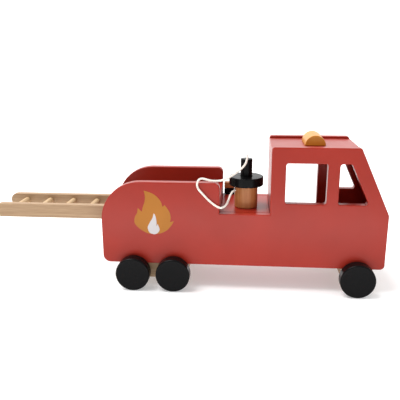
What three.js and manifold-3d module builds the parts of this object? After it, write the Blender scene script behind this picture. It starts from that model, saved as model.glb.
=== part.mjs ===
// A wooden toy fire engine: two shaped side panels joined by boards, a ladder that tips up from the
// rear bay, a hose on its drum, and six wheels on three axles.
// Millimetres. Inside the chassis group x runs from the tail (0) to the nose, y across, z up from
// the ground.

import * as THREE from 'three';
import { mergeVertices } from 'three/addons/utils/BufferGeometryUtils.js';
import Module from 'manifold-3d';

const wasm = await Module();
wasm.setup();

// ---------------------------------------------------------------- driving dimensions

const BODY_LENGTH = 301;
const BODY_WIDTH = 88;
const BOARD = 9; // thickness of every board
const GAP = 0.3; // left between neighbouring pieces
const ROUND_STEPS = 32; // sides of a full turned piece
const ARC_STEPS = 7; // straight lines in a rounded corner

const PANEL_BOTTOM = 27;
const BED_TOP = 69.8; // the ladder lies on this board
const DECK_TOP = 84.6;
const BULKHEAD_TOP = 100; // closes the front of the bay, above the deck
const BAY_TOP = 117.7; // top edge of the side panels beside the ladder
const ROOF_TOP = 156; // top edge of the side panels at the cab
const ROOF_RECESS = 2.5; // the roof board lies below that edge
const CAB_FLOOR_TOP = 62;
const SILL = 97; // windows, bottom and top
const FAR_QUARTER_SILL = 95;
const LINTEL = 139.5;

const BAY_FRONT = 127;
const CAB_REAR = 180;
const DOOR = [195, 237];
const QUARTER_REAR = 249;
const WINDSCREEN_TOP_X = 269;
const WINDSCREEN_SLOPE = 0.46; // forward travel for each mm down
const PILLAR = 16; // level width of the pillar between quarter window and windscreen

const WHEEL_RADIUS = 18.5;
const WHEEL_WIDTH = 13;
const WHEEL_GAP = 1.5; // between a wheel and the side panel
const AXLES = { rear: 34.5, middle: 78, front: 272.3 };
const AXLE_RADIUS = 3;
const AXLE_CLEARANCE = 0.4;
const BLOCK_BOTTOM = 9;

const LADDER_WIDTH = 51.6;
const LADDER_TIP_X = -128;
const RAIL = { width: 7.5, height: 15.5, bottom: 70.3 };
const RUNG_RADIUS = 3.7;
const RUNG_PITCH = 28.4;
const RUNG_COUNT = 8;
const PIVOT_X = 109.5;
const TIP_MARGIN = 20.8; // from the rails' ends to the first rung

const HOSE = { x: 154.5, y: -11 };
const DRUM = { radius: 12.6, height: 23.8 };
const FLANGE = { radius: 18.6, height: 9.9 };
const NOZZLE = { radius: 6.4, showing: 19.3, socket: 12 };
const CORD_RADIUS = 1.2;

// ---------------------------------------------------------------- derived places

const INNER = BODY_WIDTH / 2 - BOARD; // inner face of a side panel
const BETWEEN = [GAP - INNER, INNER - GAP]; // boards between the panels
const WHEEL_FACE = BODY_WIDTH / 2 + WHEEL_GAP;
const RAIL_CENTRE_Z = RAIL.bottom + RAIL.height / 2;
const FIRST_RUNG_X = LADDER_TIP_X + TIP_MARGIN;
const ORIGIN_X = (LADDER_TIP_X + BODY_LENGTH) / 2;
const windscreenX = (z) => WINDSCREEN_TOP_X + (ROOF_TOP - z) * WINDSCREEN_SLOPE;
const NOSE_PEAK = ROOF_TOP - (BODY_LENGTH - WINDSCREEN_TOP_X) / WINDSCREEN_SLOPE;

// ---------------------------------------------------------------- materials

const finishes = {
  redPaint: ['#b5474b', 0.35],
  blackPaint: ['#1f1f20', 0.4],
  ochrePaint: ['#d09a3a', 0.45],
  beech: ['#c7a982', 0.6],
  oiledWood: ['#a8713f', 0.55],
  cotton: ['#efe8de', 0.95],
  zinc: ['#a7a9ab', 0.35, 1],
};

function material(finish) {
  const [color, roughness, metalness = 0] = finishes[finish];
  return new THREE.MeshStandardMaterial({ color, roughness, metalness });
}

const chassis = new THREE.Group();

function place(name, geometry, finish, x = 0, y = 0, z = 0) {
  const mesh = new THREE.Mesh(geometry, material(finish));
  mesh.name = name;
  mesh.position.set(x, y, z);
  chassis.add(mesh);
  return mesh;
}

// ---------------------------------------------------------------- shapes

// Adds a closed outline to a path. Each corner is [across, up, radius].
function outline(path, corners) {
  corners.forEach(([across, up, radius], index) => {
    const here = new THREE.Vector2(across, up);
    const before = new THREE.Vector2(...corners.at(index - 1).slice(0, 2)).sub(here).normalize();
    const after = new THREE.Vector2(...corners[(index + 1) % corners.length].slice(0, 2));
    after.sub(here).normalize();
    if (!radius) {
      if (index) path.lineTo(across, up);
      else path.moveTo(across, up);
      return;
    }
    const half = Math.acos(before.dot(after)) / 2;
    const centre = before.clone().add(after).normalize().multiplyScalar(radius / Math.sin(half));
    centre.add(here);
    const start = here.clone().addScaledVector(before, radius / Math.tan(half)).sub(centre);
    const end = here.clone().addScaledVector(after, radius / Math.tan(half)).sub(centre);
    const clockwise = before.cross(after) > 0;
    path.absarc(centre.x, centre.y, radius, start.angle(), end.angle(), clockwise);
  });
  path.closePath();
  return path;
}

// A board of the given thickness that stands in the x-z plane, centred on y = 0.
function uprightBoard(shape, thickness = BOARD) {
  const geometry = new THREE.ExtrudeGeometry(shape, {
    depth: thickness,
    bevelEnabled: false,
    curveSegments: ARC_STEPS,
  });
  geometry.rotateX(Math.PI / 2);
  return geometry.translate(0, thickness / 2, 0);
}

// A rectangular board between the given limits on each axis.
function board(name, [x0, x1], [y0, y1], [z0, z1], finish = 'redPaint') {
  const geometry = new THREE.BoxGeometry(x1 - x0, y1 - y0, z1 - z0);
  return place(name, geometry, finish, (x0 + x1) / 2, (y0 + y1) / 2, (z0 + z1) / 2);
}

// A piece turned on a lathe about the z axis, from [radius, height] pairs.
function turned(profile, steps = ROUND_STEPS) {
  const points = profile.map(([radius, height]) => new THREE.Vector2(radius, height));
  // Half a step of turn puts a flat, not an edge, at the bottom of a wheel.
  const geometry = new THREE.LatheGeometry(points, steps, Math.PI / steps);
  return geometry.rotateX(Math.PI / 2);
}

function toSolid(geometry) {
  const bare = geometry.clone();
  bare.deleteAttribute('normal');
  bare.deleteAttribute('uv');
  const merged = mergeVertices(bare, 1e-4);
  const vertProperties = merged.attributes.position.array;
  const triVerts = new Uint32Array(merged.index.array);
  return new wasm.Manifold(new wasm.Mesh({ numProp: 3, vertProperties, triVerts }));
}

// Cuts the tools out of a piece; all of them are already in their final places.
function cutAway(piece, tools) {
  let solid = toSolid(piece);
  for (const tool of tools) solid = solid.subtract(toSolid(tool));
  const { vertProperties, triVerts } = solid.getMesh();
  const geometry = new THREE.BufferGeometry();
  geometry.setAttribute('position', new THREE.BufferAttribute(vertProperties, 3));
  geometry.setIndex(new THREE.BufferAttribute(triVerts, 1));
  geometry.computeVertexNormals();
  return geometry;
}

// ---------------------------------------------------------------- side panels

function sidePanel(name, side, doorBottom, quarterBottom) {
  const shape = outline(new THREE.Shape(), [
    [0, PANEL_BOTTOM, 8],
    [BODY_LENGTH, PANEL_BOTTOM, 5],
    [BODY_LENGTH, NOSE_PEAK, 6],
    [WINDSCREEN_TOP_X, ROOF_TOP, 3],
    [CAB_REAR, ROOF_TOP, 3],
    [CAB_REAR, DECK_TOP, 0],
    [BAY_FRONT, DECK_TOP, 0],
    [BAY_FRONT, BAY_TOP, 6],
    [0, BAY_TOP, 43],
  ]);
  const door = [
    [DOOR[0], doorBottom, 2.5],
    [DOOR[1], doorBottom, 2.5],
    [DOOR[1], LINTEL, 2.5],
    [DOOR[0], LINTEL, 2.5],
  ];
  const quarter = [
    [QUARTER_REAR, quarterBottom, 2],
    [windscreenX(quarterBottom) - PILLAR, quarterBottom, 2.5],
    [windscreenX(LINTEL) - PILLAR, LINTEL, 2.5],
    [QUARTER_REAR, LINTEL, 3],
  ];
  shape.holes.push(outline(new THREE.Path(), door), outline(new THREE.Path(), quarter));
  return place(name, uprightBoard(shape), 'redPaint', 0, side * (INNER + BOARD / 2));
}

sidePanel('near_side_panel', -1, SILL, SILL);
sidePanel('far_side_panel', 1, CAB_FLOOR_TOP, FAR_QUARTER_SILL);

// ---------------------------------------------------------------- boards between the panels

const BASE_TOP = PANEL_BOTTOM + BOARD;
const ROOF_BOARD = [ROOF_TOP - ROOF_RECESS - BOARD, ROOF_TOP - ROOF_RECESS];
const CAB_BACK = [CAB_REAR, CAB_REAR + BOARD];
const NOSE_REAR = BODY_LENGTH - BOARD;
const BAY_REAR = 9; // the boards stop short of the tail's rounded corners
const BULKHEAD = [BAY_FRONT - BOARD, BAY_FRONT];
const DECK_REAR = BAY_FRONT + GAP;

board('base_board', [BAY_REAR, NOSE_REAR - GAP], BETWEEN, [PANEL_BOTTOM, BASE_TOP]);
board('tail_board', [BAY_REAR, BAY_REAR + BOARD], BETWEEN, [BASE_TOP + GAP, BED_TOP - BOARD - GAP]);
board('ladder_bed', [BAY_REAR, BULKHEAD[0] - GAP], BETWEEN, [BED_TOP - BOARD, BED_TOP]);
board('bulkhead', BULKHEAD, BETWEEN, [BASE_TOP + GAP, BULKHEAD_TOP]);
board('cab_back_panel', CAB_BACK, BETWEEN, [BASE_TOP + GAP, ROOF_BOARD[0] - GAP]);
board(
  'cab_floor',
  [CAB_BACK[1] + GAP, NOSE_REAR - GAP],
  BETWEEN,
  [CAB_FLOOR_TOP - BOARD, CAB_FLOOR_TOP],
);

// The roof board's front end follows the slope of the windscreen.
function roofPanel() {
  const shape = outline(new THREE.Shape(), [
    [CAB_REAR, ROOF_BOARD[0], 0],
    [windscreenX(ROOF_BOARD[0]), ROOF_BOARD[0], 0],
    [windscreenX(ROOF_BOARD[1]), ROOF_BOARD[1], 0],
    [CAB_REAR, ROOF_BOARD[1], 1.5],
  ]);
  return place('roof_panel', uprightBoard(shape, BETWEEN[1] - BETWEEN[0]), 'redPaint');
}
roofPanel();

const SLOPE_ANGLE = Math.atan(WINDSCREEN_SLOPE);
const SCREEN_BOTTOM_X = NOSE_REAR + BOARD * Math.cos(SLOPE_ANGLE);
const SCREEN_BOTTOM_Z = ROOF_TOP - (SCREEN_BOTTOM_X - WINDSCREEN_TOP_X) / WINDSCREEN_SLOPE;

// The windscreen frame: a board with one opening, leaning back between the side panels. Its lower
// end stands on the nose panel and its upper end stops under the roof.
function windscreenPanel() {
  const width = BETWEEN[1] - BETWEEN[0];
  const length = (ROOF_BOARD[0] - GAP - SCREEN_BOTTOM_Z) / Math.cos(SLOPE_ANGLE);
  const side = 11;
  const lower = 17;
  const upper = 10;
  const shape = outline(new THREE.Shape(), [
    [-width / 2, 0, 0],
    [width / 2, 0, 0],
    [width / 2, length, 0],
    [-width / 2, length, 0],
  ]);
  const opening = outline(new THREE.Path(), [
    [side - width / 2, lower, 3],
    [width / 2 - side, lower, 3],
    [width / 2 - side, length - upper, 3],
    [side - width / 2, length - upper, 3],
  ]);
  shape.holes.push(opening);
  const depth = BOARD;
  const geometry = new THREE.ExtrudeGeometry(shape, {
    depth,
    bevelEnabled: false,
    curveSegments: ARC_STEPS,
  });
  // Stand the board up facing the nose, put its front face on x = 0, then lean it back.
  geometry.rotateX(Math.PI / 2).rotateZ(Math.PI / 2).translate(-depth, 0, 0);
  geometry.rotateY(-SLOPE_ANGLE);
  return place('windscreen_panel', geometry, 'redPaint', SCREEN_BOTTOM_X, 0, SCREEN_BOTTOM_Z);
}
windscreenPanel();

// The nose panel's top is cut square to the windscreen frame that stands on it.
function nosePanel() {
  const rise = GAP * Math.cos(SLOPE_ANGLE);
  const run = GAP * Math.sin(SLOPE_ANGLE);
  const shape = outline(new THREE.Shape(), [
    [NOSE_REAR, PANEL_BOTTOM, 0],
    [BODY_LENGTH, PANEL_BOTTOM, 4],
    [BODY_LENGTH, NOSE_PEAK, 0],
    [SCREEN_BOTTOM_X + run, SCREEN_BOTTOM_Z - rise, 0],
    [NOSE_REAR + run, SCREEN_BOTTOM_Z - rise - BOARD * Math.sin(SLOPE_ANGLE), 0],
    [NOSE_REAR, SCREEN_BOTTOM_Z - rise - BOARD * Math.sin(SLOPE_ANGLE), 0],
  ]);
  return place('nose_panel', uprightBoard(shape, BETWEEN[1] - BETWEEN[0]), 'redPaint');
}
nosePanel();

// ---------------------------------------------------------------- roof beacon

function beacon() {
  const radius = 10.8;
  const length = 37;
  const shape = new THREE.Shape();
  shape.absarc(0, 0, radius, 0, Math.PI, false);
  shape.closePath();
  const geometry = new THREE.ExtrudeGeometry(shape, {
    depth: length,
    bevelEnabled: false,
    curveSegments: 16,
  });
  geometry.rotateX(Math.PI / 2).translate(0, length / 2, 0);
  return place('beacon_light', geometry, 'ochrePaint', 226, 0, ROOF_BOARD[1] + GAP);
}
beacon();

// ---------------------------------------------------------------- hose drum on the deck

const DRUM_BOTTOM = DECK_TOP + GAP;
const FLANGE_BOTTOM = DRUM_BOTTOM + DRUM.height + GAP;
const FLANGE_TOP = FLANGE_BOTTOM + FLANGE.height;
const SOCKET_RADIUS = NOZZLE.radius + AXLE_CLEARANCE;
const DRUM_SCREW = { shank: 1.8, hole: 2.2, head: 4, headHeight: 2.5, reach: 8 };

function deckBoard() {
  const width = BETWEEN[1] - BETWEEN[0];
  const length = CAB_REAR - GAP - DECK_REAR;
  const slab = new THREE.BoxGeometry(length, width, BOARD);
  slab.translate(DECK_REAR + length / 2, 0, DECK_TOP - BOARD / 2);
  const hole = new THREE.CylinderGeometry(DRUM_SCREW.hole, DRUM_SCREW.hole, 2 * BOARD, 12);
  hole.rotateX(Math.PI / 2).translate(HOSE.x, HOSE.y, DECK_TOP - BOARD / 2);
  return place('deck_board', cutAway(slab, [hole]), 'redPaint');
}
deckBoard();

// The drum has a socket for the nozzle in its top and a screw hole in its foot.
function hoseDrum() {
  const { radius, height } = DRUM;
  const screwDepth = DRUM_SCREW.reach + 1;
  const profile = [
    [0, screwDepth],
    [DRUM_SCREW.hole, screwDepth],
    [DRUM_SCREW.hole, 0],
    [radius - 0.8, 0],
    [radius, 0.8],
    [radius, height],
    [SOCKET_RADIUS, height],
    [SOCKET_RADIUS, height - NOZZLE.socket],
    [0, height - NOZZLE.socket],
  ];
  return place('hose_drum', turned(profile), 'oiledWood', HOSE.x, HOSE.y, DRUM_BOTTOM);
}
hoseDrum();

function drumFlange() {
  const { radius, height } = FLANGE;
  const profile = [
    [SOCKET_RADIUS, 0],
    [radius - 1, 0],
    [radius, 1],
    [radius, height - 1],
    [radius - 1, height],
    [SOCKET_RADIUS, height],
    [SOCKET_RADIUS, 0],
  ];
  return place('drum_flange', turned(profile), 'blackPaint', HOSE.x, HOSE.y, FLANGE_BOTTOM);
}
drumFlange();

// A screw with its head at the bottom and its shank pointing up from z = 0.
function screw(name, { shank, head, headHeight, length }, x, y, z) {
  const profile = [
    [0, -headHeight],
    [head * 0.7, -headHeight],
    [head, -headHeight * 0.4],
    [head, 0],
    [shank, 0],
    [shank, length - shank],
    [0, length],
  ];
  return place(name, turned(profile, 12), 'zinc', x, y, z);
}
screw(
  'drum_screw',
  { ...DRUM_SCREW, length: BOARD + GAP + DRUM_SCREW.reach },
  HOSE.x,
  HOSE.y,
  DECK_TOP - BOARD - GAP,
);

// The nozzle is a peg that lifts out of its socket; the hose is tied into its top.
const NOZZLE_TOP = FLANGE_TOP + NOZZLE.showing;
const NOZZLE_BOTTOM = DRUM_BOTTOM + DRUM.height - NOZZLE.socket + GAP;

function hoseNozzle() {
  const { radius } = NOZZLE;
  const height = NOZZLE_TOP - NOZZLE_BOTTOM;
  const profile = [
    [0, 0],
    [radius - 0.8, 0],
    [radius, 0.8],
    [radius, height - 0.8],
    [radius - 0.8, height],
    [0, height],
  ];
  return place('hose_nozzle', turned(profile, 24), 'blackPaint', HOSE.x, HOSE.y, NOZZLE_BOTTOM);
}
hoseNozzle();

// A small rest on the far panel's top edge, behind the drum.
const REST = { x: [128.5, 140.5], y: [BODY_WIDTH / 2 - 7.5, BODY_WIDTH / 2], height: 7.4 };
const REST_BOTTOM = DECK_TOP + GAP;
const REST_JOINT = REST_BOTTOM + REST.height;
board('hose_rest_foot', REST.x, REST.y, [REST_BOTTOM, REST_JOINT], 'blackPaint');
board('hose_rest_block', REST.x, REST.y, [REST_JOINT + GAP, REST_JOINT + REST.height], 'oiledWood');

// ---------------------------------------------------------------- axle blocks, axles, wheels

const AXLE_Z = WHEEL_RADIUS * Math.cos(Math.PI / ROUND_STEPS); // each wheel stands on one flat
const BLOCK_TOP = PANEL_BOTTOM - GAP;
const BLOCK_HALF_WIDTH = 40;
const BLOCK_SCREW = { shank: 1.6, hole: 2.1, head: 3.6, headHeight: 2.4, pocket: 4.2, sunk: 3 };
const BLOCK_SCREW_LENGTH = 13;
const BLOCK_SCREW_Y = 24;

// A block under the base board, bored across for its axles and up for its screws.
function axleBlock(name, [x0, x1], axleXs, screwXs) {
  const height = BLOCK_TOP - BLOCK_BOTTOM;
  const block = new THREE.BoxGeometry(x1 - x0, 2 * BLOCK_HALF_WIDTH, height);
  block.translate((x0 + x1) / 2, 0, (BLOCK_TOP + BLOCK_BOTTOM) / 2);
  const bore = AXLE_RADIUS + AXLE_CLEARANCE;
  const tools = axleXs.map((x) =>
    new THREE.CylinderGeometry(bore, bore, 3 * BLOCK_HALF_WIDTH, 16).translate(x, 0, AXLE_Z),
  );
  const shaft = BLOCK_SCREW.sunk + BLOCK_SCREW_LENGTH + GAP;
  screwXs.forEach((x, index) => {
    for (const side of [-1, 1]) {
      const y = side * BLOCK_SCREW_Y;
      const hole = new THREE.CylinderGeometry(BLOCK_SCREW.hole, BLOCK_SCREW.hole, shaft, 12);
      const pocket = new THREE.CylinderGeometry(
        BLOCK_SCREW.pocket,
        BLOCK_SCREW.pocket,
        2 * BLOCK_SCREW.sunk,
        12,
      );
      tools.push(hole.rotateX(Math.PI / 2).translate(x, y, BLOCK_BOTTOM + shaft / 2));
      tools.push(pocket.rotateX(Math.PI / 2).translate(x, y, BLOCK_BOTTOM));
      const spec = { ...BLOCK_SCREW, length: BLOCK_SCREW_LENGTH };
      const label = `${name}_screw_${2 * index + (side > 0 ? 2 : 1)}`;
      screw(label, spec, x, y, BLOCK_BOTTOM + BLOCK_SCREW.sunk - GAP);
    }
  });
  return place(name, cutAway(block, tools), 'beech');
}

axleBlock('rear_axle_block', [18, 91], [AXLES.rear, AXLES.middle], [46, 65]);
axleBlock('front_axle_block', [260, 290], [AXLES.front], [282]);

function wheel(name, x, side) {
  const edge = 1.6;
  const profile = [
    [0, 0],
    [WHEEL_RADIUS - edge, 0],
    [WHEEL_RADIUS, edge],
    [WHEEL_RADIUS, WHEEL_WIDTH - edge],
    [WHEEL_RADIUS - edge, WHEEL_WIDTH],
    [0, WHEEL_WIDTH],
  ];
  const geometry = turned(profile).rotateX(-side * Math.PI / 2);
  return place(name, geometry, 'blackPaint', x, side * WHEEL_FACE, AXLE_Z);
}

for (const [axle, x] of Object.entries(AXLES)) {
  const length = 2 * (WHEEL_FACE - GAP);
  const rod = new THREE.CylinderGeometry(AXLE_RADIUS, AXLE_RADIUS, length, 16);
  place(`${axle}_axle`, rod, 'beech', x, 0, AXLE_Z);
  wheel(`${axle}_wheel_near`, x, -1);
  wheel(`${axle}_wheel_far`, x, 1);
}

// ---------------------------------------------------------------- ladder

const PIVOT_RADIUS = 4;
const RAIL_Y = (LADDER_WIDTH - RAIL.width) / 2;
const RUNG_HALF = RAIL_Y - RAIL.width / 2 - GAP;

// A rail is round at both ends.
function ladderRail(name, side) {
  const low = RAIL.bottom;
  const high = RAIL.bottom + RAIL.height;
  const round = RAIL.height / 2;
  const shape = outline(new THREE.Shape(), [
    [LADDER_TIP_X, low, round - 0.05],
    [PIVOT_X + round, low, round - 0.05],
    [PIVOT_X + round, high, round - 0.05],
    [LADDER_TIP_X, high, round - 0.05],
  ]);
  const hole = new THREE.Path();
  hole.absarc(PIVOT_X, RAIL_CENTRE_Z, PIVOT_RADIUS + AXLE_CLEARANCE, 0, 2 * Math.PI);
  shape.holes.push(hole);
  return place(name, uprightBoard(shape, RAIL.width), 'beech', 0, side * RAIL_Y);
}
ladderRail('ladder_rail_near', -1);
ladderRail('ladder_rail_far', 1);

for (let index = 0; index < RUNG_COUNT; index += 1) {
  const rung = new THREE.CylinderGeometry(RUNG_RADIUS, RUNG_RADIUS, 2 * RUNG_HALF, 12);
  place(`ladder_rung_${index + 1}`, rung, 'beech', FIRST_RUNG_X + index * RUNG_PITCH, 0, RAIL_CENTRE_Z);
}

const pivot = new THREE.CylinderGeometry(PIVOT_RADIUS, PIVOT_RADIUS, BETWEEN[1] - BETWEEN[0], 16);
place('ladder_pivot', pivot, 'beech', PIVOT_X, 0, RAIL_CENTRE_Z);

// ---------------------------------------------------------------- hose cord

// From the drum's side, down round the near panel's front corner, up its outer face, over its top
// edge and up in a loop into the nozzle's top.
const CORD_ROUTE = [
  [143, -17, 104],
  [140.2, -20, 103],
  [138, -25, 100.5],
  [136.5, -31, 97.3],
  [134.8, -37, 94.3],
  [132.6, -41.5, 92.5],
  [129.5, -45, 91.6],
  [125.8, -46.4, 92.8],
  [121.5, -46.4, 95.5],
  [116.8, -46.3, 99.3],
  [112.6, -46.2, 103.5],
  [108.8, -46.1, 107.7],
  [105.6, -46.1, 111.4],
  [104.1, -46.2, 115.2],
  [104.2, -45.8, 118.4],
  [105.4, -44.5, 121],
  [107.6, -43, 122.1],
  [110.4, -41.8, 121.8],
  [113.8, -41, 120.7],
  [117.6, -40.4, 119.6],
  [121.4, -39.8, 119.2],
  [125.6, -38.9, 119.2],
  [130, -37.4, 119.7],
  [134.6, -35.3, 121],
  [139.6, -32.4, 123.5],
  [144.6, -29.2, 126.6],
  [149, -26.2, 129.6],
  [152.6, -23.6, 133.2],
  [154.4, -21.7, 137],
  [155, -19.6, 140.4],
  [155, -16.8, 142.4],
  [154.8, -13.8, 142.2],
  [154.5, -11.6, 140.6],
  [154.5, -11, 138.7],
];
const CORD_STEPS = 40;

function hoseCord() {
  const route = new THREE.CatmullRomCurve3(CORD_ROUTE.map((point) => new THREE.Vector3(...point)));
  const section = new THREE.Shape();
  const sides = 8;
  for (let corner = 0; corner < sides; corner += 1) {
    const angle = (2 * Math.PI * corner) / sides;
    const point = [CORD_RADIUS * Math.cos(angle), CORD_RADIUS * Math.sin(angle)];
    if (corner) section.lineTo(...point);
    else section.moveTo(...point);
  }
  section.closePath();
  const options = { steps: CORD_STEPS, extrudePath: route };
  return place('hose_cord', new THREE.ExtrudeGeometry(section, options), 'cotton');
}
hoseCord();

// ---------------------------------------------------------------- whole toy

// The origin is on the ground, midway between the ladder's tip and the nose.
const fireEngine = new THREE.Group();
chassis.position.x = -ORIGIN_X;
fireEngine.add(chassis);

export default fireEngine;
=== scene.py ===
import math

import bmesh
import bpy
from mathutils import Matrix, Vector


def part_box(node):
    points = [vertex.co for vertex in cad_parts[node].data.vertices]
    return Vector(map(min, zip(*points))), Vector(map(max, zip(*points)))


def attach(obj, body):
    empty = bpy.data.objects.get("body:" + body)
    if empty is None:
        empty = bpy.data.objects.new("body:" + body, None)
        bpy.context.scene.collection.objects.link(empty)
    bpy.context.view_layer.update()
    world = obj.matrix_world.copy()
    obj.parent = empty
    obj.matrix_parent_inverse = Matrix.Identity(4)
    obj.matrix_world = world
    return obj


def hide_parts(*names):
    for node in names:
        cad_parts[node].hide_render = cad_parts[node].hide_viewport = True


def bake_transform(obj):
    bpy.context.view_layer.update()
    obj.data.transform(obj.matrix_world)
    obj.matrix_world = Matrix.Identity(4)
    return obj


# The looks of a wooden toy fire engine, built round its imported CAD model. Lengths are in millimetres
# where nothing else is said. Places on the body are x from the tail, y across and z up from the
# ground, and at() turns them into metres in the model's frame.

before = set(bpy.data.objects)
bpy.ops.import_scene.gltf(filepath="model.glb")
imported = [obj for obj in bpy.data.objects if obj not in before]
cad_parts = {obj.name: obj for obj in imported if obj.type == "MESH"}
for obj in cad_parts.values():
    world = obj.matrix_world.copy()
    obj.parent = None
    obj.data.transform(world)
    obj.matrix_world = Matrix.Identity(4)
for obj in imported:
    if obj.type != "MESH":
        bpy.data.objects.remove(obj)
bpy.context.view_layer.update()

MM = 0.001
TAIL_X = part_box("near_side_panel")[0][0]


def at(x, y, z):
    return Vector((TAIL_X + x * MM, y * MM, z * MM))


# ---------------------------------------------------------------- camera


def add_camera():
    """A 48 mm lens on the near side, opposite the hose deck and higher than the roof."""
    data = bpy.data.cameras.new("camera")
    data.lens = 48
    data.sensor_width = 36
    camera = bpy.data.objects.new("camera", data)
    bpy.context.scene.collection.objects.link(camera)
    looking_down = math.radians(15.44)
    turned_left = math.radians(5.32)
    roll = math.radians(-0.24)
    camera.matrix_world = (
        Matrix.Translation(at(156.7, -580, 248.2))
        @ Matrix.Rotation(turned_left, 4, "Z")
        @ Matrix.Rotation(math.pi / 2 - looking_down, 4, "X")
        @ Matrix.Rotation(roll, 4, "Z")
    )
    bpy.context.scene.camera = camera


add_camera()

# ---------------------------------------------------------------- node materials

# Grain and noise scales are in cycles per metre on each axis: a small one runs along the grain.

# The colour sockets of a Mix node, which shares their names with its other types.
MIX_FACTOR, MIX_A, MIX_B, MIX_RESULT = 0, 6, 7, 2


def add(tree, kind, settings=(), **inputs):
    """A shader node. settings are its own properties; inputs are values or sockets to link."""
    node = tree.nodes.new(kind)
    for key, value in settings:
        setattr(node, key, value)
    for key, value in inputs.items():
        socket = node.inputs[key.replace("_", " ")]
        if isinstance(value, bpy.types.NodeSocket):
            tree.links.new(value, socket)
        else:
            socket.default_value = value
    return node


def new_material(name):
    material = bpy.data.materials.new(name)
    material.use_nodes = True
    return material, material.node_tree, material.node_tree.nodes["Principled BSDF"]


def stretched(tree, scale):
    """The piece's own coordinates, scaled on each axis."""
    place = add(tree, "ShaderNodeTexCoord").outputs["Object"]
    return add(tree, "ShaderNodeMapping", Vector=place, Scale=scale).outputs["Vector"]


def noise(tree, vector, scale, detail=3.0, distortion=0.0):
    values = {"Scale": scale, "Detail": detail, "Distortion": distortion}
    return add(tree, "ShaderNodeTexNoise", Vector=vector, **values).outputs["Fac"]


def ramp(tree, factor, stops):
    """A colour ramp from (position, colour) stops."""
    node = add(tree, "ShaderNodeValToRGB", Fac=factor)
    elements = node.color_ramp.elements
    while len(elements) < len(stops):
        elements.new(0.5)
    for element, (position, colour) in zip(elements, stops):
        element.position = position
        element.color = (*colour, 1)
    return node.outputs["Color"]


def scaled(colour, factor):
    return tuple(channel * factor for channel in colour)


def bump(tree, shader, height, strength, distance, normal=None):
    values = {"Height": height, "Strength": strength, "Distance": distance}
    if normal:
        values["Normal"] = normal
    result = add(tree, "ShaderNodeBump", **values).outputs["Normal"]
    tree.links.new(result, shader.inputs["Normal"])
    return result


def painted(name, colour, roughness, grain=(30, 420, 420), gloss=0.5):
    """Sprayed satin paint: soft shade changes, faint wood grain under it, fine orange peel."""
    material, tree, shader = new_material(name)
    shader.inputs["Specular IOR Level"].default_value = gloss
    clouds = noise(tree, stretched(tree, (22, 22, 22)), 1.0)
    shades = [(0.3, scaled(colour, 0.93)), (0.7, scaled(colour, 1.06))]
    tree.links.new(ramp(tree, clouds, shades), shader.inputs["Base Color"])
    rough = add(
        tree,
        "ShaderNodeMapRange",
        Value=noise(tree, stretched(tree, (60, 60, 60)), 1.0, 5),
        To_Min=roughness - 0.04,
        To_Max=roughness + 0.05,
    )
    tree.links.new(rough.outputs["Result"], shader.inputs["Roughness"])
    fibres = noise(tree, stretched(tree, grain), 1.0, 4)
    first = bump(tree, shader, fibres, 0.12, 0.0002)
    peel = noise(tree, stretched(tree, (700, 700, 700)), 1.0, 2)
    bump(tree, shader, peel, 0.08, 0.0001, first)
    return material


def wooden(name, light, dark, grain, roughness=0.55):
    """Sanded wood: slow bands of light and dark, with fine dark fibres along the grain."""
    material, tree, shader = new_material(name)
    bands = noise(tree, stretched(tree, grain), 1.0, 3, 1.2)
    middle = tuple((a + b) / 2 for a, b in zip(light, dark))
    base = ramp(tree, bands, [(0.32, light), (0.5, middle), (0.72, dark)])
    fine = noise(tree, stretched(tree, scaled(grain, 7)), 1.0, 5)
    flecks = ramp(tree, fine, [(0.42, (1, 1, 1)), (0.62, (0.78, 0.72, 0.66))])
    mixed = add(tree, "ShaderNodeMix", [("data_type", "RGBA"), ("blend_type", "MULTIPLY")])
    mixed.inputs[MIX_FACTOR].default_value = 0.6
    tree.links.new(base, mixed.inputs[MIX_A])
    tree.links.new(flecks, mixed.inputs[MIX_B])
    tree.links.new(mixed.outputs[MIX_RESULT], shader.inputs["Base Color"])
    shader.inputs["Roughness"].default_value = roughness
    shader.inputs["Specular IOR Level"].default_value = 0.3
    bump(tree, shader, fine, 0.25, 0.0002)
    return material


def cotton_material():
    """Spun cotton: warm white, with a fuzz of fine fibres."""
    material, tree, shader = new_material("cotton_cord")
    fibres = noise(tree, stretched(tree, (900, 900, 900)), 1.0, 6, 2.0)
    shades = [(0.3, (0.72, 0.66, 0.58)), (0.6, (0.9, 0.86, 0.79))]
    tree.links.new(ramp(tree, fibres, shades), shader.inputs["Base Color"])
    shader.inputs["Roughness"].default_value = 0.95
    shader.inputs["Sheen Weight"].default_value = 0.3
    bump(tree, shader, fibres, 0.5, 0.0002)
    return material


def plated_material():
    """Zinc plating: a dull spangle with fine scratches."""
    material, tree, shader = new_material("zinc_plate")
    spangle = noise(tree, stretched(tree, (500, 500, 500)), 1.0, 2)
    shades = [(0.35, (0.36, 0.37, 0.38)), (0.65, (0.52, 0.52, 0.51))]
    tree.links.new(ramp(tree, spangle, shades), shader.inputs["Base Color"])
    shader.inputs["Metallic"].default_value = 1
    shader.inputs["Roughness"].default_value = 0.38
    bump(tree, shader, noise(tree, stretched(tree, (1500, 300, 900)), 1.0), 0.2, 0.0001)
    return material


# Colours are linear red, green and blue.
RED = (0.31, 0.0215, 0.0115)
BLACK = (0.004, 0.004, 0.0043)
OCHRE = (0.6, 0.25, 0.02)
FLAME_OCHRE = (0.37, 0.135, 0.012)
WHITE = (0.52, 0.49, 0.5)
BEECH = ((0.47, 0.32, 0.195), (0.36, 0.23, 0.13))
PALE_BEECH = ((0.6, 0.43, 0.25), (0.48, 0.32, 0.17))
OILED = ((0.5, 0.21, 0.075), (0.4, 0.15, 0.045))
ALONG_X = (9, 260, 260)
ALONG_Y = (260, 9, 260)
ALONG_Z = (260, 260, 9)

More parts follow.
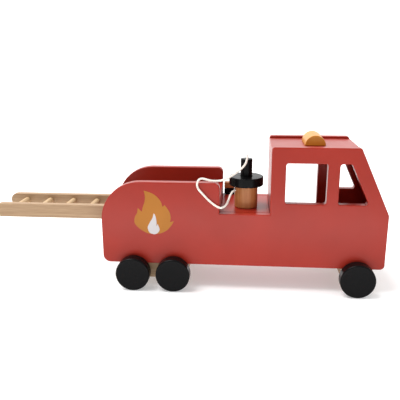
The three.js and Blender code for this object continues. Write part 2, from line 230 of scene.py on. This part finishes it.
materials = {
    "red_paint": painted("red_paint", RED, 0.3, gloss=0.22),
    "black_paint": painted("black_paint", BLACK, 0.26, (300, 60, 300), 0.08),
    "ochre_paint": painted("ochre_paint", OCHRE, 0.4, (420, 30, 420)),
    "beech_along": wooden("beech_along", *BEECH, ALONG_X),
    "beech_across": wooden("beech_across", *PALE_BEECH, ALONG_Y),
    "oiled_wood": wooden("oiled_wood", *OILED, ALONG_Z, 0.42),
    "cotton": cotton_material(),
    "zinc": plated_material(),
    "flame_ochre": painted("flame_ochre", FLAME_OCHRE, 0.4, gloss=0.22),
    "flame_white": painted("flame_white", WHITE, 0.45, gloss=0.22),
}

# ---------------------------------------------------------------- shapes

SEGMENTS = 72  # round a turned piece
ON_AXIS = 1e-6  # a radius smaller than this is a point on the axis
WELD = 1e-6  # in metres, vertices closer than this are one


def outline(corners, arc_step=math.radians(7)):
    """A closed outline as points. Each corner is (across, up, radius)."""
    points = []
    for index, (across, up, radius) in enumerate(corners):
        here = Vector((across, up))
        if not radius:
            points.append(here)
            continue
        before = (Vector(corners[index - 1][:2]) - here).normalized()
        after = (Vector(corners[(index + 1) % len(corners)][:2]) - here).normalized()
        half = before.angle(after) / 2
        centre = here + (before + after).normalized() * (radius / math.sin(half))
        start = here + before * (radius / math.tan(half)) - centre
        sweep = math.pi - 2 * half
        if before.x * after.y - before.y * after.x > 0:
            sweep = -sweep
        steps = max(2, round(abs(sweep) / arc_step))
        for step in range(steps + 1):
            turn = Matrix.Rotation(sweep * step / steps, 2)
            points.append(centre + turn @ start)
    return points


def finish_piece(piece, material, body, nodes=()):
    """Material, slot, body and the CAD nodes that the piece stands for."""
    piece.data.materials.clear()
    piece.data.materials.append(materials[material])
    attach(piece, body)
    if nodes:
        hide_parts(*nodes)
    return piece


def smooth(piece, angle=math.radians(40)):
    """Smooth shading over rounded edges, with the flat faces kept flat."""
    piece.data.shade_smooth()
    piece.data.set_sharp_from_angle(angle=angle)
    weighted = piece.modifiers.new("flat faces", "WEIGHTED_NORMAL")
    weighted.keep_sharp = True
    return piece


def mesh_piece(name, verts, faces):
    mesh = bpy.data.meshes.new(name)
    mesh.from_pydata(verts, [], faces)
    piece = bpy.data.objects.new(name, mesh)
    bpy.context.scene.collection.objects.link(piece)
    return piece


def clean(mesh):
    """Welds a mesh and turns its faces outwards."""
    work = bmesh.new()
    work.from_mesh(mesh)
    bmesh.ops.remove_doubles(work, verts=work.verts, dist=WELD)
    bmesh.ops.recalc_face_normals(work, faces=work.faces)
    work.to_mesh(mesh)
    work.free()


def plate(name, loops, thickness, place, edge=0.9):
    """A board with rounded edges, drawn as loops in its own plane, which is halfway through it. place
    is a matrix that takes that plane to the model's frame."""
    curve = bpy.data.curves.new(name, "CURVE")
    curve.dimensions = "2D"
    curve.fill_mode = "BOTH"
    curve.bevel_depth = edge * MM
    curve.bevel_resolution = 3
    curve.offset = -edge * MM
    curve.extrude = thickness / 2 * MM - edge * MM
    for loop in loops:
        spline = curve.splines.new("POLY")
        spline.points.add(len(loop) - 1)
        for point, (across, up) in zip(spline.points, loop):
            point.co = (across * MM, up * MM, 0, 1)
        spline.use_cyclic_u = True
    source = bpy.data.objects.new(name + "_outline", curve)
    bpy.context.scene.collection.objects.link(source)
    bpy.context.view_layer.update()
    flat = source.evaluated_get(bpy.context.evaluated_depsgraph_get())
    mesh = bpy.data.meshes.new_from_object(flat)
    bpy.data.objects.remove(source)
    bpy.data.curves.remove(curve)
    mesh.transform(place)
    clean(mesh)
    mesh.name = name
    piece = bpy.data.objects.new(name, mesh)
    bpy.context.scene.collection.objects.link(piece)
    return smooth(piece)


def standing(y):
    """Stands a plate up across the body's width, at y."""
    return Matrix.Translation(at(0, y, 0)) @ Matrix.Rotation(math.pi / 2, 4, "X")


def turned(name, profile, axis_end, axis_start, segments=SEGMENTS):
    """A piece turned about the line from axis_start to axis_end, which are in metres. profile is a
    closed outline of (radius, along, fillet) that starts and ends on the axis, or goes round a
    ring."""
    ring = outline(profile, math.radians(15))
    verts = []
    rows = []
    for radius, along in ring:
        if radius < ON_AXIS:
            rows.append([len(verts)] * segments)
            verts.append((0, 0, along * MM))
            continue
        rows.append(list(range(len(verts), len(verts) + segments)))
        for step in range(segments):
            angle = 2 * math.pi * step / segments
            verts.append((radius * MM * math.cos(angle), radius * MM * math.sin(angle), along * MM))
    faces = []
    on_axis = [radius < ON_AXIS for radius, _ in ring]
    for index, row in enumerate(rows):
        after = (index + 1) % len(rows)
        if on_axis[index] and on_axis[after]:
            continue
        for step in range(segments):
            corners = [row[step], row[step - 1], rows[after][step - 1], rows[after][step]]
            faces.append(list(dict.fromkeys(corners)))
    piece = mesh_piece(name, verts, faces)
    direction = axis_end - axis_start
    lean = Vector((0, 0, 1)).rotation_difference(direction).to_matrix().to_4x4()
    piece.data.transform(Matrix.Translation(axis_start) @ lean)
    clean(piece.data)
    return smooth(piece)


def centre(node):
    """The middle of a node's box, in metres."""
    low, high = (Vector(corner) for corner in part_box(node))
    return (low + high) / 2


def size(node):
    """A node's width, depth and height in millimetres."""
    low, high = (Vector(corner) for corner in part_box(node))
    return (high - low) / MM


def soften(node, material, edge=0.7):
    """Rounds a CAD board's edges and gives it its material."""
    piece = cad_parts[node]
    piece.data.materials.clear()
    piece.data.materials.append(materials[material])
    weld = piece.modifiers.new("weld", "WELD")
    weld.merge_threshold = WELD
    rounding = piece.modifiers.new("edges", "BEVEL")
    rounding.width = edge * MM
    rounding.segments = 3
    rounding.limit_method = "ANGLE"
    rounding.angle_limit = math.radians(30)
    rounding.harden_normals = True


# ---------------------------------------------------------------- hose cord

CORD_RADIUS = 1.2
STRANDS = 3
STRAND_SHARE = 0.535  # a strand's radius, as a share of the cord's
STRAND_SIDES = 10
LAY = 5.5  # one turn of the strands, along the cord

# The route of the hose, from the drum's side round the near panel's corner, over its top edge and
# into the nozzle.
CORD_ROUTE = [
    (143, -17, 104),
    (140.2, -20, 103),
    (138, -25, 100.5),
    (136.5, -31, 97.3),
    (134.8, -37, 94.3),
    (132.6, -41.5, 92.5),
    (129.5, -45, 91.6),
    (125.8, -46.4, 92.8),
    (121.5, -46.4, 95.5),
    (116.8, -46.3, 99.3),
    (112.6, -46.2, 103.5),
    (108.8, -46.1, 107.7),
    (105.6, -46.1, 111.4),
    (104.1, -46.2, 115.2),
    (104.2, -45.8, 118.4),
    (105.4, -44.5, 121),
    (107.6, -43, 122.1),
    (110.4, -41.8, 121.8),
    (113.8, -41, 120.7),
    (117.6, -40.4, 119.6),
    (121.4, -39.8, 119.2),
    (125.6, -38.9, 119.2),
    (130, -37.4, 119.7),
    (134.6, -35.3, 121),
    (139.6, -32.4, 123.5),
    (144.6, -29.2, 126.6),
    (149, -26.2, 129.6),
    (152.6, -23.6, 133.2),
    (154.4, -21.7, 137),
    (155, -19.6, 140.4),
    (155, -16.8, 142.4),
    (154.8, -13.8, 142.2),
    (154.5, -11.6, 140.6),
    (154.5, -11, 138.7),
]


def through(points, step):
    """A Catmull-Rom line through the points, sampled at every step along it."""
    parts = 16
    padded = [2 * points[0] - points[1], *points, 2 * points[-1] - points[-2]]
    fine = []
    for a, b, c, d in zip(padded, padded[1:], padded[2:], padded[3:]):
        for part in range(parts):
            t = part / parts
            fine.append(
                0.5
                * (
                    2 * b
                    + (c - a) * t
                    + (2 * a - 5 * b + 4 * c - d) * t**2
                    + (3 * b - a - 3 * c + d) * t**3
                )
            )
    fine.append(points[-1])
    line = [fine[0]]
    left = step
    for start, end in zip(fine, fine[1:]):
        gap = (end - start).length
        while gap >= left:
            start = start + (end - start) * (left / gap)
            gap -= left
            line.append(start)
            left = step
        left -= gap
    line.append(fine[-1])
    return line


def hose_cord():
    """Three strands laid round each other along the route."""
    step = 0.4
    line = through([Vector(point) for point in CORD_ROUTE], step)
    strand_radius = CORD_RADIUS * STRAND_SHARE
    offset = CORD_RADIUS - strand_radius
    sides = STRAND_SIDES
    verts, faces = [], []
    side = (line[1] - line[0]).orthogonal().normalized()
    frames = []
    for index, point in enumerate(line):
        ahead = line[min(index + 1, len(line) - 1)] - line[max(index - 1, 0)]
        ahead.normalize()
        side = (side - ahead * side.dot(ahead)).normalized()
        frames.append((point, side.copy(), ahead.cross(side)))
    for strand in range(STRANDS):
        base = len(verts)
        for index, (point, across, up) in enumerate(frames):
            twist = 2 * math.pi * (strand / STRANDS + index * step / LAY)
            core = point + (across * math.cos(twist) + up * math.sin(twist)) * offset
            for corner in range(sides):
                angle = 2 * math.pi * corner / sides
                spoke = across * math.cos(angle) + up * math.sin(angle)
                verts.append(at(*(core + spoke * strand_radius)))
        rings = len(frames)
        for ring in range(rings - 1):
            for corner in range(sides):
                a = base + ring * sides + corner
                b = base + ring * sides + (corner + 1) % sides
                faces.append((a, b, b + sides, a + sides))
        faces.append(tuple(range(base, base + sides))[::-1])
        faces.append(tuple(range(base + (rings - 1) * sides, base + rings * sides)))
    cord = mesh_piece("twisted_hose_cord", verts, faces)
    cord.data.shade_smooth()
    cord.data.materials.append(materials["cotton"])
    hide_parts("hose_cord")
    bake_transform(cord)
    return cord, [at(*point) for point in line]


# ---------------------------------------------------------------- side panels

BODY = 301
PANEL_BOTTOM = 27
DECK = 84.6
BAY_TOP = 117.7
ROOF = 156
BAY_FRONT = 127
CAB_REAR = 180
CAB_FLOOR = 62
DOOR = (195, 237)
QUARTER_REAR = 249
SILL, FAR_SILL, LINTEL = 97, 95, 139.5
SCREEN_TOP_X = 269
SCREEN_SLOPE = 0.46
PILLAR = 16
BOARD = 9
HALF_WIDTH = 44


def screen_x(z):
    return SCREEN_TOP_X + (ROOF - z) * SCREEN_SLOPE


def side_panel(name, node, side, door_bottom, quarter_bottom):
    """A side of the toy, with its door and quarter window cut out. side is -1 for the near one."""
    body = [
        (0, PANEL_BOTTOM, 8),
        (BODY, PANEL_BOTTOM, 5),
        (BODY, ROOF - (BODY - SCREEN_TOP_X) / SCREEN_SLOPE, 6),
        (SCREEN_TOP_X, ROOF, 3),
        (CAB_REAR, ROOF, 3),
        (CAB_REAR, DECK, 0),
        (BAY_FRONT, DECK, 0),
        (BAY_FRONT, BAY_TOP, 6),
        (0, BAY_TOP, 43),
    ]
    door = [
        (DOOR[0], door_bottom, 2.5),
        (DOOR[1], door_bottom, 2.5),
        (DOOR[1], LINTEL, 2.5),
        (DOOR[0], LINTEL, 2.5),
    ]
    quarter = [
        (QUARTER_REAR, quarter_bottom, 2),
        (screen_x(quarter_bottom) - PILLAR, quarter_bottom, 2.5),
        (screen_x(LINTEL) - PILLAR, LINTEL, 2.5),
        (QUARTER_REAR, LINTEL, 3),
    ]
    loops = [outline(shape) for shape in (body, door, quarter)]
    piece = plate(name, loops, BOARD, standing(side * (HALF_WIDTH - BOARD / 2)))
    return finish_piece(piece, "red_paint", "truck", [node])


side_panel("near_panel", "near_side_panel", -1, SILL, SILL)
side_panel("far_panel", "far_side_panel", 1, CAB_FLOOR, FAR_SILL)

for board in (
    "base_board",
    "tail_board",
    "ladder_bed",
    "bulkhead",
    "deck_board",
    "cab_back_panel",
    "cab_floor",
    "roof_panel",
    "windscreen_panel",
    "nose_panel",
):
    soften(board, "red_paint")

# ---------------------------------------------------------------- flame print

FLAME_FOOT = (57, 60.5)
PRINT_THICKNESS = 0.12

# The strokes round a flame and round its heart run from one tip or notch to the next, in
# millimetres from the middle of its foot.
FLAME_STROKES = [
    [(0.5, 0), (7, 1), (14, 4.6), (19, 10.2), (21.7, 14.8)],
    [(21.7, 14.8), (17.6, 14)],
    [(17.6, 14), (18.4, 19), (17, 25.5), (12.1, 32.8)],
    [(12.1, 32.8), (9.8, 30.5)],
    [(9.8, 30.5), (8, 36.5), (3, 42.5), (-3, 46), (-9.7, 48)],
    [(-9.7, 48), (-8.7, 42), (-9.2, 36), (-11.4, 29.5), (-12.5, 24.8)],
    [(-12.5, 24.8), (-16.8, 28.8)],
    [(-16.8, 28.8), (-17.6, 23.6), (-20.4, 18), (-20.3, 11.2), (-14, 4.8), (-6.5, 0.8), (0.5, 0)],
]
HEART_STROKES = [
    [(0, -0.3), (3.6, 1), (6.2, 5.2), (4.2, 11.6)],
    [(4.2, 11.6), (2.8, 8.8)],
    [(2.8, 8.8), (3, 14), (2, 20.4), (0.3, 23.4)],
    [(0.3, 23.4), (-1.2, 18), (-4.4, 12.6), (-6.6, 7), (-4.6, 1.6), (0, -0.3)],
]


def flame_outline(strokes):
    """The strokes as one closed outline, placed on the panel."""
    points = []
    for stroke in strokes:
        line = through([Vector((x, z, 0)) for x, z in stroke], 0.5)
        points += [(point.x + FLAME_FOOT[0], point.y + FLAME_FOOT[1]) for point in line[:-1]]
    return points


def flame(side_name, side):
    """An ochre flame with a white heart, printed just proud of a panel's outer face."""
    for label, strokes, material, layer in (
        ("flame", FLAME_STROKES, "flame_ochre", 0),
        ("flame_heart", HEART_STROKES, "flame_white", 1),
    ):
        y = side * (HALF_WIDTH + (0.3 + layer * 0.35) * PRINT_THICKNESS)
        loops = [flame_outline(strokes)]
        piece = plate(f"{label}_{side_name}", loops, PRINT_THICKNESS, standing(y), 0.02)
        finish_piece(piece, material, "truck")


flame("near", -1)
flame("far", 1)

# ---------------------------------------------------------------- beacon


def beacon():
    """A half-round bar that lies across the roof."""
    wide, deep, high = size("beacon_light")
    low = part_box("beacon_light")[0]
    middle_x = (centre("beacon_light").x - TAIL_X) / MM
    foot = low[2] / MM
    steps = 40
    arc = [math.pi * step / steps for step in range(steps + 1)]
    loop = [(middle_x + wide / 2 * math.cos(a), foot + high * math.sin(a)) for a in arc]
    piece = plate("roof_beacon", [loop], deep, standing(0), 0.6)
    finish_piece(piece, "ochre_paint", "truck", ["beacon_light"])


beacon()

# ---------------------------------------------------------------- hose drum, flange, nozzle

SOCKET = 6.8  # radius of the hole that the nozzle stands in


def upright_ends(node):
    """The bottom and top middles of a node, in metres."""
    low, high = (Vector(corner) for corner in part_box(node))
    middle = (low + high) / 2
    return Vector((middle.x, middle.y, low.z)), Vector((middle.x, middle.y, high.z))


def hose_unit():
    """The drum, the flange on it and the nozzle that stands in both. Returns the nozzle."""
    bottom, top = upright_ends("hose_drum")
    radius, height = size("hose_drum").x / 2, size("hose_drum").z
    socket_depth, screw_hole, screw_depth = 12, 2.2, 9
    drum = [
        (0, screw_depth, 0),
        (screw_hole, screw_depth, 0),
        (screw_hole, 0, 0),
        (radius, 0, 0.8),
        (radius, height, 0.5),
        (SOCKET, height, 0.4),
        (SOCKET, height - socket_depth, 0),
        (0, height - socket_depth, 0),
    ]
    piece = turned("drum_barrel", drum, top, bottom)
    finish_piece(piece, "oiled_wood", "truck", ["hose_drum"])

    bottom, top = upright_ends("drum_flange")
    radius, height = size("drum_flange").x / 2, size("drum_flange").z
    flange = [
        (SOCKET, 0, 0.4),
        (radius, 0, 1),
        (radius, height, 1),
        (SOCKET, height, 0.4),
    ]
    piece = turned("drum_top_flange", flange, top, bottom, 96)
    finish_piece(piece, "black_paint", "truck", ["drum_flange"])

    bottom, top = upright_ends("hose_nozzle")
    radius, height = size("hose_nozzle").x / 2, size("hose_nozzle").z
    cord_hole, hole_depth = 1.5, 4
    nozzle = [
        (0, 0, 0),
        (radius, 0, 0.8),
        (radius, height, 0.9),
        (cord_hole, height, 0.3),
        (cord_hole, height - hole_depth, 0),
        (0, height - hole_depth, 0),
    ]
    piece = turned("nozzle_peg", nozzle, top, bottom)
    return finish_piece(piece, "black_paint", "nozzle", ["hose_nozzle"])


nozzle_peg = hose_unit()
soften("hose_rest_foot", "black_paint", 0.8)
soften("hose_rest_block", "oiled_wood", 0.8)

cord, cord_line = hose_cord()

# ---------------------------------------------------------------- wheels and axles


def side_ends(node):
    """The near and far middles of a node, in metres."""
    low, high = (Vector(corner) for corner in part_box(node))
    middle = (low + high) / 2
    return Vector((middle.x, low.y, middle.z)), Vector((middle.x, high.y, middle.z))


def wheel(axle, side):
    """A turned wheel, rounder on its outer rim."""
    node = f"{axle}_wheel_{side}"
    near, far = side_ends(node)
    outer, inner = (near, far) if side == "near" else (far, near)
    radius, width = size(node).z / 2, size(node).y
    profile = [
        (0, 0, 0),
        (radius, 0, 1.6),
        (radius, width, 2),
        (0, width, 0),
    ]
    piece = turned(f"{axle}_tyre_{side}", profile, outer, inner, 96)
    finish_piece(piece, "black_paint", f"{axle}_wheels", [node])


def dowel(name, node, material, body, edge=0.4):
    """A round rod across the body."""
    near, far = side_ends(node)
    radius, length = size(node).z / 2, size(node).y
    profile = [(0, 0, 0), (radius, 0, edge), (radius, length, edge), (0, length, 0)]
    piece = turned(name, profile, far, near, 40)
    finish_piece(piece, material, body, [node])


for axle in ("rear", "middle", "front"):
    dowel(f"{axle}_axle_rod", f"{axle}_axle", "beech_across", f"{axle}_wheels")
    wheel(axle, "near")
    wheel(axle, "far")

soften("rear_axle_block", "beech_along", 0.8)
soften("front_axle_block", "beech_along", 0.8)

# ---------------------------------------------------------------- screws


def screw(node):
    """A countersunk cross-head screw, head down."""
    bottom, top = upright_ends(node)
    head, length = size(node).x / 2, size(node).z
    shank = head * 0.45
    head_height = head * 0.66
    profile = [
        (0, 0, 0),
        (head, 0, head * 0.3),
        (head, head_height, 0),
        (shank, head_height, 0),
        (shank, length - shank, 0),
        (0, length, 0),
    ]
    piece = turned(f"{node}_body", profile, top, bottom, 32)
    slot = (head * 1.1 * MM, head * 0.22 * MM, head * 0.9 * MM)
    cutters = []
    for turn in (0, math.pi / 2):
        cutter = mesh_piece("cutter", [], [])
        work = bmesh.new()
        bmesh.ops.create_cube(work, size=1)
        bmesh.ops.transform(work, verts=work.verts, matrix=Matrix.Diagonal((*slot, 1)))
        bmesh.ops.rotate(work, verts=work.verts, matrix=Matrix.Rotation(turn, 3, "Z"))
        bmesh.ops.translate(work, verts=work.verts, vec=bottom)
        work.to_mesh(cutter.data)
        work.free()
        cut = piece.modifiers.new("cross", "BOOLEAN")
        cut.object = cutter
        cutters.append(cutter)
    piece.modifiers.move(0, len(piece.modifiers) - 1)
    bpy.context.view_layer.update()
    cut_piece = piece.evaluated_get(bpy.context.evaluated_depsgraph_get())
    piece_mesh = bpy.data.meshes.new_from_object(cut_piece)
    piece.modifiers.clear()
    piece.data = piece_mesh
    for cutter in cutters:
        bpy.data.objects.remove(cutter)
    smooth(piece)
    finish_piece(piece, "zinc", "truck", [node])


screw("drum_screw")
for number in range(1, 5):
    screw(f"rear_axle_block_screw_{number}")
for number in range(1, 3):
    screw(f"front_axle_block_screw_{number}")

# ---------------------------------------------------------------- ladder

PIVOT_X = 109.5
PIVOT_HOLE = 4.4  # radius
HOLE_POINTS = 40


def rail(side):
    """A ladder rail with round ends, and the hole for its pivot."""
    node = f"ladder_rail_{side}"
    low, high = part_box(node)
    tip, bottom, top = (low[0] - TAIL_X) / MM, low[2] / MM, high[2] / MM
    front = (high[0] - TAIL_X) / MM
    round_end = (top - bottom) / 2 - 0.02
    shape = [
        (tip, bottom, round_end),
        (front, bottom, round_end),
        (front, top, round_end),
        (tip, top, round_end),
    ]
    turns = [2 * math.pi * step / HOLE_POINTS for step in range(HOLE_POINTS)]
    middle = (top + bottom) / 2
    hole = [
        (PIVOT_X + PIVOT_HOLE * math.cos(a), middle + PIVOT_HOLE * math.sin(a)) for a in turns
    ]
    y = centre(node).y / MM
    piece = plate(f"{side}_rail", [outline(shape), hole], size(node).y, standing(y), 0.8)
    finish_piece(piece, "beech_along", "ladder", [node])


rail("near")
rail("far")
rungs = [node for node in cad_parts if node.startswith("ladder_rung_")]
for node in sorted(rungs):
    dowel(node.replace("ladder_", "") + "_dowel", node, "beech_across", "ladder")
dowel("pivot_dowel", "ladder_pivot", "beech_across", "truck")

# ---------------------------------------------------------------- studio

FRONT_LIGHT, BACK_LIGHT = 0.5, 1.5
FLOOR_HALF = 6  # in metres


def add_floor():
    material, tree, shader = new_material("studio_floor")
    shade = noise(tree, stretched(tree, (3, 3, 3)), 1.0)
    colours = [(0.3, (0.74, 0.74, 0.74)), (0.7, (0.76, 0.76, 0.76))]
    tree.links.new(ramp(tree, shade, colours), shader.inputs["Base Color"])
    shader.inputs["Roughness"].default_value = 0.7
    shader.inputs["Emission Color"].default_value = (1, 1, 1, 1)
    shader.inputs["Emission Strength"].default_value = 0.32
    half = FLOOR_HALF
    corners = [(-half, -half, 0), (half, -half, 0), (half, half, 0), (-half, half, 0)]
    floor = mesh_piece("studio_floor", corners, [(0, 1, 2, 3)])
    floor.data.materials.append(material)


def add_light(data, place, target):
    """Puts a light at place, pointing to target, both in metres."""
    light = bpy.data.objects.new(data.name, data)
    light.location = place
    aim = Vector(target) - Vector(place)
    light.rotation_euler = aim.to_track_quat("-Z", "Y").to_euler()
    bpy.context.scene.collection.objects.link(light)


def add_key():
    """A wide soft light overhead, a little towards the tail."""
    key = bpy.data.lights.new("key", "SUN")
    key.energy = 2.9
    key.angle = math.radians(35)
    add_light(key, (-0.4, -0.03, 0.85), (0, 0, 0))


def add_strip():
    """A weak strip close to the floor that lifts the lower half of the near side."""
    strip = bpy.data.lights.new("low_strip", "AREA")
    strip.shape = "RECTANGLE"
    strip.size = 0.5
    strip.size_y = 0.03
    strip.energy = 0.19
    add_light(strip, (0.03, -0.24, 0.015), (0.03, 0, 0.03))


def add_world():
    """A white room, brighter behind the toy than in front of it."""
    world = bpy.data.worlds.new("studio")
    world.use_nodes = True
    tree = world.node_tree
    direction = add(tree, "ShaderNodeTexCoord").outputs["Generated"]
    across = add(tree, "ShaderNodeSeparateXYZ", Vector=direction).outputs["Y"]
    bright = add(
        tree,
        "ShaderNodeMapRange",
        Value=across,
        From_Min=-0.6,
        From_Max=0.6,
        To_Min=FRONT_LIGHT,
        To_Max=BACK_LIGHT,
    )
    background = tree.nodes["Background"]
    background.inputs["Color"].default_value = (1, 1, 1, 1)
    tree.links.new(bright.outputs["Result"], background.inputs["Strength"])
    bpy.context.scene.world = world


def add_studio():
    add_floor()
    add_world()
    add_key()
    add_strip()
    bpy.context.scene.view_settings.view_transform = "Standard"


add_studio()
